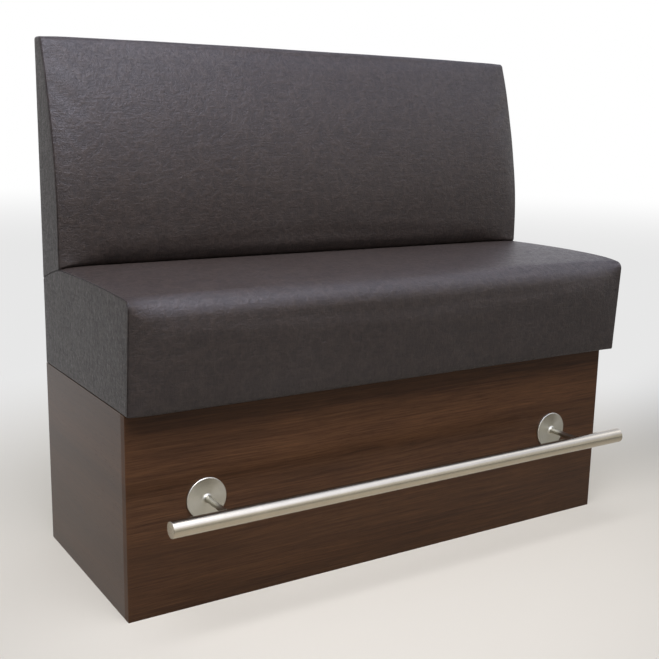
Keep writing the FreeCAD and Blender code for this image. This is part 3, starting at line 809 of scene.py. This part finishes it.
def walnut_material(name, along, contrast=1.0, roughness=0.30, specular=0.18):
    """Dark walnut laminate with level grain that runs along one axis, and banding by height with
    painted shade under the seat at the top.
    """
    paint = Paint(name)
    point = paint.node("ShaderNodeSeparateXYZ", {0: paint.object_point}).outputs
    run = paint.math("SUBTRACT", point[along], CORNER[along])
    level = point[2]

    # Grain lines part round a few long dark eyes
    warped = level
    eyes = None
    for place, height, length, width in WALNUT_EYES:
        off_run = paint.times(paint.math("SUBTRACT", run, place), 1 / length)
        off_level = paint.math("SUBTRACT", level, height)
        share = paint.times(off_level, 1 / width)
        far = paint.plus(paint.times(off_run, off_run), paint.times(share, share))
        near = paint.math("POWER", math.e, paint.times(far, -1.0))
        wide = paint.math("POWER", math.e, paint.times(far, -EYE_REACH))
        push = paint.times(off_level, paint.times(wide, EYE_PUSH))
        warped = paint.math("SUBTRACT", warped, push)
        eyes = near if eyes is None else paint.math("MAXIMUM", eyes, near)

    flow = paint.node("ShaderNodeCombineXYZ", {0: run, 1: 0.0, 2: warped}).outputs[0]
    drift = paint.grain(flow, (1.7, 1, 5))
    bent_level = paint.plus(warped, paint.times(drift, WALNUT_DRIFT))
    bent = paint.node("ShaderNodeCombineXYZ", {0: run, 1: 0.0, 2: bent_level}).outputs[0]
    zones = paint.grain(bent, (2.2, 1, 20))
    rings = paint.grain(bent, (2.4, 1, 130), detail=3.0, roughness=0.6, distortion=0.1)
    lines = paint.grain(bent, (5.0, 1, 330), detail=3.0, roughness=0.65)
    streaks = paint.grain(bent, (16.0, 1, 480), roughness=0.6)
    fibres = paint.grain(bent, (22.0, 1, 1300), detail=3.0, roughness=0.65)
    pores = paint.grain(bent, (38.0, 1, 900))

    # Banding by height, whose dark top stop is painted shade under the seat's overhang
    bands_and_painted_shade = paint.ramp(
        paint.stretch(bent_level, WALNUT_BAND_RISE, BASE_HEIGHT + WALNUT_BAND_RISE),
        [(place, (share / BAND_SCALE,) * 3) for place, share in WALNUT_BANDS_AND_SHADE],
    )
    bands_and_painted_shade.node.color_ramp.interpolation = "EASE"
    tone = paint.weighted((zones, 0.28), (rings, 0.32), (lines, 0.40))
    tone = paint.math("SUBTRACT", tone, paint.times(eyes, EYE_DEPTH))
    spread = WALNUT_SPREAD / contrast
    tone = paint.stretch(tone, WALNUT_MEAN - spread, WALNUT_MEAN + spread)
    colour = paint.dimmed(paint.ramp(tone, WALNUT_TONES), paint.times(bands_and_painted_shade, BAND_SCALE))
    fine = paint.weighted((fibres, 0.4), (streaks, 0.6))
    change = WALNUT_LINE_CONTRAST * contrast
    colour = paint.dimmed(colour, paint.stretch(fine, *NOISE_SPAN, 1 - change, 1 + change))
    dots = paint.stretch(pores, *PORE_SPAN, 0.0, PORE_CONTRAST * contrast)
    colour = paint.mix(dots, colour, PORE_TONE)
    low, high = roughness - WALNUT_ROUGHNESS_SPREAD, roughness + WALNUT_ROUGHNESS_SPREAD
    return paint.finish(
        Base_Color=colour,
        Roughness=paint.stretch(fibres, *NOISE_SPAN, low, high),
        Normal=paint.bump(paint.plus(fibres, pores), 0.0001, 0.4),
        Specular_IOR_Level=specular,
    )


# Steel tones. Their warmth is in part a painted reflection of a warm floor, seen in the lower half of
# the rail and the discs.
BAR_TONE_AND_WARM_REFLECTION = (0.435, 0.385, 0.295)
TURNED_TONE_AND_WARM_REFLECTION = (0.43, 0.41, 0.345)
STEEL_SHADES = (0.92, 1.05)
STEEL_ROUGHNESS_SPREAD = 0.03
# Where most of the sum of brushed lines and smudges lies
STEEL_SPAN = (0.7, 1.3)


def finish_steel(paint, lines, tangent, tone, roughness, anisotropy):
    """Shared steel look: brushed lines, faint smudges and a slightly warm tone, which in part is a
    painted reflection of a warm floor.
    """
    smudge = paint.cloud(paint.object_point, 22.0, detail=3.0, roughness=0.6)
    dim = paint.stretch(paint.plus(lines, smudge), *STEEL_SPAN, *STEEL_SHADES)
    plain = paint.node("ShaderNodeRGB").outputs[0]
    plain.default_value = (*tone, 1.0)
    low, high = roughness - STEEL_ROUGHNESS_SPREAD, roughness + STEEL_ROUGHNESS_SPREAD
    rough = paint.stretch(paint.plus(lines, smudge), *STEEL_SPAN, low, high)
    return paint.finish(
        Base_Color=paint.dimmed(plain, dim),
        Metallic=1.0,
        Roughness=rough,
        Anisotropic=anisotropy,
        Normal=paint.bump(lines, 0.00002, 0.3),
        Tangent=tangent,
    )


def bar_steel_material():
    """Steel that is brushed along the bench."""
    paint = Paint("steel_bar")
    lines = paint.grain(paint.object_point, (4, 1400, 1400))
    tangent = paint.node("ShaderNodeTangent", direction_type="RADIAL", axis="X")
    return finish_steel(paint, lines, tangent.outputs[0], BAR_TONE_AND_WARM_REFLECTION, roughness=0.24, anisotropy=0.20)


def turned_steel_material(name, node):
    """Steel that is turned round the axis of a bracket, with fine rings."""
    paint = Paint(name)
    low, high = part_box(node)
    centre = (low + high) / 2
    away = paint.node(
        "ShaderNodeVectorMath",
        {0: paint.object_point, 1: (centre.x, centre.y, centre.z)},
        operation="SUBTRACT",
    ).outputs[0]
    flat = paint.node("ShaderNodeVectorMath", {0: away, 1: (1, 0, 1)}, operation="MULTIPLY")
    size = paint.node("ShaderNodeVectorMath", {0: flat.outputs[0]}, operation="LENGTH")
    radius = size.outputs["Value"]
    depth = paint.node("ShaderNodeSeparateXYZ", {0: away}).outputs[1]
    ring = paint.node("ShaderNodeCombineXYZ", {0: radius, 1: depth, 2: 0.0}).outputs[0]
    rings = paint.grain(ring, (1400, 900, 1), detail=3.0, roughness=0.6)
    wisps = paint.cloud(paint.object_point, 60.0)
    lines = paint.weighted((rings, 0.8), (wisps, 0.2))
    tangent = paint.node("ShaderNodeTangent", direction_type="RADIAL", axis="Y")
    return finish_steel(
        paint, lines, tangent.outputs[0], TURNED_TONE_AND_WARM_REFLECTION, roughness=0.33, anisotropy=0.75
    )


ZINC_TONES = ((0.3, (0.49, 0.51, 0.54)), (0.7, (0.54, 0.56, 0.59)))
LINING_TONES = ((0.3, (0.010, 0.010, 0.011)), (0.7, (0.030, 0.030, 0.032)))
FOAM_TONES = ((0.0, (0.55, 0.50, 0.36)), (0.8, (0.80, 0.76, 0.60)))
BOARD_ROUGHNESS_SPREAD = 0.05


def zinc_material():
    """Galvanised sheet with a faint spangle."""
    paint = Paint("zinc_steel")
    spangle = paint.cells(paint.object_point, 260.0)
    haze = paint.cloud(paint.object_point, 40.0, detail=3.0, roughness=0.6)
    dim = paint.stretch(paint.plus(spangle, haze), 0.4, 1.4, 0.86, 1.08)
    return paint.finish(
        Base_Color=paint.dimmed(paint.ramp(haze, ZINC_TONES), dim),
        Metallic=1.0,
        Roughness=paint.stretch(haze, *NOISE_SPAN, 0.30, 0.46),
        Normal=paint.bump(haze, 0.00008, 0.4),
    )


def board_material(name, low, high, scale, roughness):
    """Timber or board with plain grain along the bench."""
    paint = Paint(name)
    grain = paint.grain(paint.object_point, scale, detail=4.0, roughness=0.6, distortion=0.3)
    fine_scale = tuple(8 * share for share in scale)
    fibre = paint.grain(paint.object_point, fine_scale)
    tone = paint.ramp(paint.stretch(grain, *NOISE_SPAN), [(0.0, low), (1.0, high)])
    dim = paint.stretch(fibre, *NOISE_SPAN, 0.88, 1.08)
    smooth, rough = roughness - BOARD_ROUGHNESS_SPREAD, roughness + BOARD_ROUGHNESS_SPREAD
    return paint.finish(
        Base_Color=paint.dimmed(tone, dim),
        Roughness=paint.stretch(grain, *NOISE_SPAN, smooth, rough),
        Normal=paint.bump(fibre, 0.0001, 0.4),
        Specular_IOR_Level=0.35,
    )


def lining_material():
    """Black non-woven cloth with tangled fibres and a pressed dot pattern."""
    paint = Paint("black_lining")
    fibres = paint.cloud(paint.object_point, 900.0, detail=4.0, roughness=0.7, distortion=1.5)
    dots = paint.cells(paint.object_point, 420.0)
    return paint.finish(
        Base_Color=paint.ramp(fibres, LINING_TONES),
        Roughness=paint.stretch(fibres, *NOISE_SPAN, 0.80, 0.95),
        Normal=paint.bump(paint.plus(fibres, dots), 0.0003, 0.6),
        Specular_IOR_Level=0.25,
    )


def foam_material():
    """Pale yellow foam with open cells."""
    paint = Paint("foam")
    cells = paint.cells(paint.object_point, 900.0)
    return paint.finish(
        Base_Color=paint.ramp(cells, FOAM_TONES),
        Roughness=paint.stretch(cells, 0.0, 0.8, 0.85, 0.95),
        Normal=paint.bump(cells, 0.0004, 0.6),
    )


LEATHERETTE = leatherette_material()
WALNUT_ACROSS = walnut_material("walnut_across", 0)
WALNUT_DEEP = walnut_material("walnut_deep", 1, contrast=0.4, specular=0.20)
WALNUT_EDGE = walnut_material("walnut_edge", 1, contrast=0.4, roughness=0.50)
BAR_STEEL = bar_steel_material()
LEFT_TURNED = turned_steel_material("steel_turned_left", "rail_disc_left")
RIGHT_TURNED = turned_steel_material("steel_turned_right", "rail_disc_right")
ZINC = zinc_material()
LINING = lining_material()
FOAM = foam_material()
CARCASS = board_material(
    "carcass_board",
    low=(0.030, 0.022, 0.018),
    high=(0.048, 0.036, 0.029),
    scale=(3, 3, 60),
    roughness=0.5,
)
TIMBER = board_material(
    "frame_timber",
    low=(0.50, 0.37, 0.22),
    high=(0.66, 0.52, 0.34),
    scale=(4, 4, 90),
    roughness=0.6,
)

SLOT_MATERIALS = {
    "walnut_laminate": WALNUT_ACROSS,
    "carcass_board": CARCASS,
    "frame_timber": TIMBER,
    "foam": FOAM,
    "leatherette": LEATHERETTE,
    "black_lining": LINING,
    "brushed_stainless": BAR_STEEL,
    "zinc_steel": ZINC,
}
NODE_MATERIALS = {
    "base_left_panel": WALNUT_DEEP,
    "base_right_panel": WALNUT_DEEP,
    "base_edge_bands": WALNUT_EDGE,
    "rail_disc_left": LEFT_TURNED,
    "rail_disc_right": RIGHT_TURNED,
    "rail_post_left": LEFT_TURNED,
    "rail_post_right": RIGHT_TURNED,
}


def dress_frame():
    """Every CAD node that stays gets its own node material."""
    for part in frame["record"]["subparts"]:
        node = frame["nodes"][part["node"]]
        material = NODE_MATERIALS.get(part["node"], SLOT_MATERIALS[part["material_slot"]])
        node.data.materials.clear()
        node.data.materials.append(material)


# Linings: thin sheets stretched over the open rear, with a doubled hem

HEM = 0.012
HEM_STAND = 0.00078
LINING_STAND = 0.00052
LINING_WAVE = (0.05, 0.00018)
LINING_SEED = 21
LINING_THICKNESS = 0.0005
LINING_COLUMNS = 90
LINING_ROWS = 36


def sheet_lines(low, high, count):
    """Places of a sheet's mesh lines: its edges, and evenly between its hems."""
    return np.unique(np.concatenate([[low, high], np.linspace(low + HEM, high - HEM, count)]))


def make_lining(name, node):
    """A lining in the place of its solid, and the size it is cut to."""
    low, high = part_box(node)
    xs = sheet_lines(low.x, high.x, LINING_COLUMNS)
    zs = sheet_lines(low.z, high.z, LINING_ROWS)
    points = []
    for x in xs:
        for z in zs:
            edge = min(x - low.x, high.x - x, z - low.z, high.z - z)
            if edge < HEM + TINY:
                stand = HEM_STAND
            else:
                stand = LINING_STAND + waves((x, 0, z), LINING_WAVE, LINING_SEED)
            points.append((x, low.y + stand, z))
    count = len(zs)
    faces = []
    for i in range(len(xs) - 1):
        for j in range(count - 1):
            a = i * count + j
            faces.append((a, a + 1, a + count + 1, a + count))
    points = np.array(points) - CORNER
    piece = add_piece(name, points, faces, LINING, levels=0, thickness=LINING_THICKNESS)
    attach(piece, "bench")
    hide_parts(node)
    return piece, (high.x - low.x, high.z - low.z)


# Camera, light and floor

# Place from the plinth's corner; yaw, pitch and roll in degrees; focal length in pixels
CAMERA_PLACE = (-0.6114, -1.6318, 0.9206)
CAMERA_TURN = (32.52, -11.78, 1.17)
CAMERA_FOCAL_PIXELS = 1000.2
PICTURE_PIXELS = 659
SENSOR_WIDTH = 36.0

# Each lamp: name, place, aim, size, radiance and tint
LAMPS = (
    ("overhead", (-0.80, -1.05, 2.50), (-0.80, -1.05, 0.00), (2.2, 1.5), 7.1, (0.97, 0.98, 1.08)),
    ("overhead_right", (2.60, -0.50, 2.30), (2.60, -0.50, 0.00), (2.8, 0.8), 0.85, (0.94, 0.98, 1.07)),
    ("front", (-1.30, -3.60, 1.60), (0.00, 0.00, 0.50), (2.5, 1.5), 1.2, (1.0, 1.0, 1.0)),
    ("right", (2.30, -0.30, 1.20), (0.00, 0.00, 0.50), (1.6, 1.4), 0.5, (1.0, 1.0, 1.0)),
    ("rear", (0.40, 3.00, 1.60), (0.00, 0.00, 0.60), (2.5, 1.5), 1.4, (1.0, 1.0, 1.0)),
)
WORLD_LIGHT = 0.13

# How bright the room looks by direction. An edge is a pair of values of the
# direction's X, Y or Z, or of its likeness to a way, between which it changes.
ROOM_FRONT_LEVEL = 0.80
ROOM_REAR_LEVEL = 0.42
ROOM_EDGE = (-0.5, 0.4)
CEILING_TINT = (0.90, 0.98, 1.28)
CEILING_FRONT_LEVEL = 2.5
CEILING_RIGHT_LEVEL = 1.2
CEILING_SIDE_EDGE = (0.42, 0.72)
CEILING_REAR_LEVEL = 0.85
CEILING_EDGE = (0.15, 0.70)
BACKDROP_WAY = (0.54, 0.84, 0.0)
BACKDROP_EDGE = (0.45, 0.90)

# The floor near the bench, and what it fades to. The last two edges are distances.
FLOOR_COLOUR = (0.46, 0.43, 0.375)
FLOOR_GLOW = (0.33, 0.315, 0.285)
FLOOR_BOUNCE = (0.20, 0.19, 0.175)
FLOOR_FRONT_LEVEL = 0.36
FLOOR_REAR_LEVEL = 0.80
FLOOR_REAR_EDGE = (0.0, 0.4)
FLOOR_EDGE = (0.5, 1.8)
HORIZON_EDGE = (5.0, 12.0)
FLOOR_HALF = 30.0


def set_camera():
    """The photograph's camera, as it was solved from the plinth's corners and edges."""
    place = CORNER + np.array(CAMERA_PLACE)
    yaw, pitch, roll = (math.radians(angle) for angle in CAMERA_TURN)
    ahead = Vector((math.sin(yaw) * math.cos(pitch), math.cos(yaw) * math.cos(pitch), math.sin(pitch)))
    level_right = Vector((math.cos(yaw), -math.sin(yaw), 0))
    level_up = level_right.cross(ahead)
    right = level_right * math.cos(roll) + level_up * math.sin(roll)
    up = level_up * math.cos(roll) - level_right * math.sin(roll)
    data = bpy.data.cameras.new("camera")
    data.sensor_width = SENSOR_WIDTH
    data.lens = SENSOR_WIDTH * CAMERA_FOCAL_PIXELS / PICTURE_PIXELS
    camera = bpy.data.objects.new("camera", data)
    turn = Matrix((right, up, -ahead)).transposed()
    camera.matrix_world = Matrix.Translation(Vector(place)) @ turn.to_4x4()
    bpy.context.scene.collection.objects.link(camera)
    bpy.context.scene.camera = camera


def add_lamp(name, place, aim, size, radiance, tint):
    """A soft rectangular lamp, hidden from the camera."""
    data = bpy.data.lights.new(name, "AREA")
    data.shape = "RECTANGLE"
    data.size, data.size_y = size
    data.energy = radiance * size[0] * size[1] * math.pi
    data.color = tint
    lamp = bpy.data.objects.new(name, data)
    lamp.location = place
    lamp.rotation_euler = (Vector(aim) - Vector(place)).to_track_quat("-Z", "Y").to_euler()
    lamp.visible_camera = False
    bpy.context.scene.collection.objects.link(lamp)


def shown_rays(tree):
    """One for rays that end in the picture, zero for rays that only carry light."""
    path = tree.nodes.new("ShaderNodeLightPath")
    shown = path.outputs["Is Camera Ray"]
    for kind in ("Is Glossy Ray", "Is Transmission Ray"):
        more = tree.nodes.new("ShaderNodeMath")
        more.operation = "MAXIMUM"
        tree.links.new(shown, more.inputs[0])
        tree.links.new(path.outputs[kind], more.inputs[1])
        shown = more.outputs[0]
    return shown


def fade(tree, value, edges, low, high):
    """A smooth step from one level to another between two edges."""
    made = tree.nodes.new("ShaderNodeMapRange")
    made.interpolation_type = "SMOOTHSTEP"
    made.inputs["From Min"].default_value, made.inputs["From Max"].default_value = edges
    tree.links.new(value, made.inputs["Value"])
    for socket, level in (("To Min", low), ("To Max", high)):
        if isinstance(level, bpy.types.NodeSocket):
            tree.links.new(level, made.inputs[socket])
        else:
            made.inputs[socket].default_value = level
    return made.outputs[0]


def room_level(tree, way):
    """White at the backdrop, bright overhead in front and on the left, grey elsewhere."""
    towards = tree.nodes.new("ShaderNodeVectorMath")
    towards.operation = "DOT_PRODUCT"
    tree.links.new(way, towards.inputs[0])
    towards.inputs[1].default_value = BACKDROP_WAY
    parts = tree.nodes.new("ShaderNodeSeparateXYZ")
    tree.links.new(way, parts.inputs[0])
    along, depth, height = parts.outputs
    walls = fade(tree, depth, ROOM_EDGE, ROOM_FRONT_LEVEL, ROOM_REAR_LEVEL)
    front = fade(tree, along, CEILING_SIDE_EDGE, CEILING_FRONT_LEVEL, CEILING_RIGHT_LEVEL)
    ceiling = fade(tree, depth, ROOM_EDGE, front, CEILING_REAR_LEVEL)
    above = fade(tree, height, CEILING_EDGE, walls, ceiling)
    return fade(tree, towards.outputs["Value"], BACKDROP_EDGE, above, 1.0)


def set_world():
    """A plain dim light, and the room for rays that end in the picture."""
    world = bpy.data.worlds.new("studio")
    bpy.context.scene.world = world
    world.use_nodes = True
    tree = world.node_tree
    way = tree.nodes.new("ShaderNodeTexCoord").outputs["Generated"]
    level = tree.nodes.new("ShaderNodeMapRange")
    level.inputs["To Min"].default_value = WORLD_LIGHT
    tree.links.new(shown_rays(tree), level.inputs["Value"])
    tree.links.new(room_level(tree, way), level.inputs["To Max"])
    tree.links.new(level.outputs[0], tree.nodes["Background"].inputs["Strength"])
    height = tree.nodes.new("ShaderNodeSeparateXYZ")
    tree.links.new(way, height.inputs[0])
    tint = tree.nodes.new("ShaderNodeMix")
    tint.data_type = "RGBA"
    tint.inputs[6].default_value = (1, 1, 1, 1)
    tint.inputs[7].default_value = (*CEILING_TINT, 1)
    tree.links.new(fade(tree, height.outputs[2], CEILING_EDGE, 0.0, 1.0), tint.inputs[0])
    tree.links.new(tint.outputs[2], tree.nodes["Background"].inputs["Color"])


def make_floor():
    """A plain pale floor that meets the background far away without an edge."""
    paint = Paint("floor")
    tree = paint.tree
    tree.nodes.remove(paint.shader)
    place = {0: paint.object_point}
    far = paint.node("ShaderNodeVectorMath", place, operation="LENGTH").outputs["Value"]
    way = paint.node("ShaderNodeVectorMath", place, operation="NORMALIZE").outputs[0]
    plain = paint.node("ShaderNodeBsdfDiffuse", {"Color": (*FLOOR_BOUNCE, 1)}).outputs[0]
    pale = paint.node("ShaderNodeBsdfDiffuse", {"Color": (*FLOOR_COLOUR, 1)}).outputs[0]
    glow = paint.node("ShaderNodeEmission", {"Color": (*FLOOR_GLOW, 1)}).outputs[0]
    near = paint.node("ShaderNodeAddShader", {0: pale, 1: glow}).outputs[0]
    behind = paint.node("ShaderNodeSeparateXYZ", {0: way}).outputs[1]
    room = room_level(tree, way)
    outer = fade(tree, behind, FLOOR_REAR_EDGE, FLOOR_FRONT_LEVEL, FLOOR_REAR_LEVEL)
    far_level = fade(tree, far, HORIZON_EDGE, outer, room)
    open_air = paint.node("ShaderNodeEmission", {"Strength": far_level}).outputs[0]
    share = fade(tree, far, FLOOR_EDGE, 0.0, 1.0)
    shown = paint.node("ShaderNodeMixShader", {0: share, 1: near, 2: open_air}).outputs[0]
    mixed = paint.node("ShaderNodeMixShader", {0: shown_rays(tree), 1: plain, 2: shown}).outputs[0]
    tree.links.new(mixed, paint.output.inputs["Surface"])
    corners = [(x * FLOOR_HALF, y * FLOOR_HALF, 0) for x, y in ((-1, -1), (1, -1), (1, 1), (-1, 1))]
    mesh = bpy.data.meshes.new("floor")
    mesh.from_pydata(corners, [], [(0, 1, 2, 3)])
    mesh.materials.append(paint.material)
    floor = bpy.data.objects.new("floor", mesh)
    bpy.context.scene.collection.objects.link(floor)


# Where the covers are held: near the frame's underside, the rear and the seat's
# surface, and on the seat below and behind the back
HELD_UNDER = 0.004
HELD_BEHIND = 0.001
HELD_FOOT = 0.006
SEAT_HELD_FROM = 0.325
SEAT_HELD_ABOVE = 0.5


def held_seat(rings):
    """The seat's cover is held under the frame, behind, and below the back."""
    y, z = rings[:, :, 1], rings[:, :, 2]
    held = np.zeros(rings.shape[:2])
    held[z < BASE_HEIGHT + HELD_UNDER] = 1.0
    held[(y > SEAT_HELD_FROM) & (z > SEAT_HELD_ABOVE)] = 1.0
    held[y > DEPTH - HELD_BEHIND] = 1.0
    return held


def held_back(rings):
    """The back's cover is held behind and under its foot."""
    y, z = rings[:, :, 1], rings[:, :, 2]
    held = np.zeros(rings.shape[:2])
    held[y > DEPTH - HELD_BEHIND] = 1.0
    held[z < SEAT_HEIGHT + HELD_FOOT] = 1.0
    return held


set_camera()
set_world()
for lamp in LAMPS:
    add_lamp(*lamp)
make_floor()
dress_frame()

make_cushion(
    "seat",
    seat_outline,
    SEAT_SPINE,
    SEAT_BULGE,
    held_seat,
    {
        "long": ("seat_cover_top", "seat_top_foam", "seat_front_foam"),
        "left": ("seat_cover_left", "seat_wadding_left"),
        "right": ("seat_cover_right", "seat_wadding_right"),
    },
    SEAT_SEED,
)
make_cushion(
    "back",
    back_outline,
    BACK_SPINE,
    BACK_BULGE,
    held_back,
    {
        "long": ("back_cover_front", "back_foam"),
        "left": ("back_cover_left", "back_wadding_left"),
        "right": ("back_cover_right", "back_wadding_right"),
    },
    BACK_SEED,
)
for cushion in ("seat", "back"):
    sheet, cut = make_lining(cushion + "_lining_sheet", cushion + "_rear_lining")

bpy.context.scene.view_settings.view_transform = "Standard"
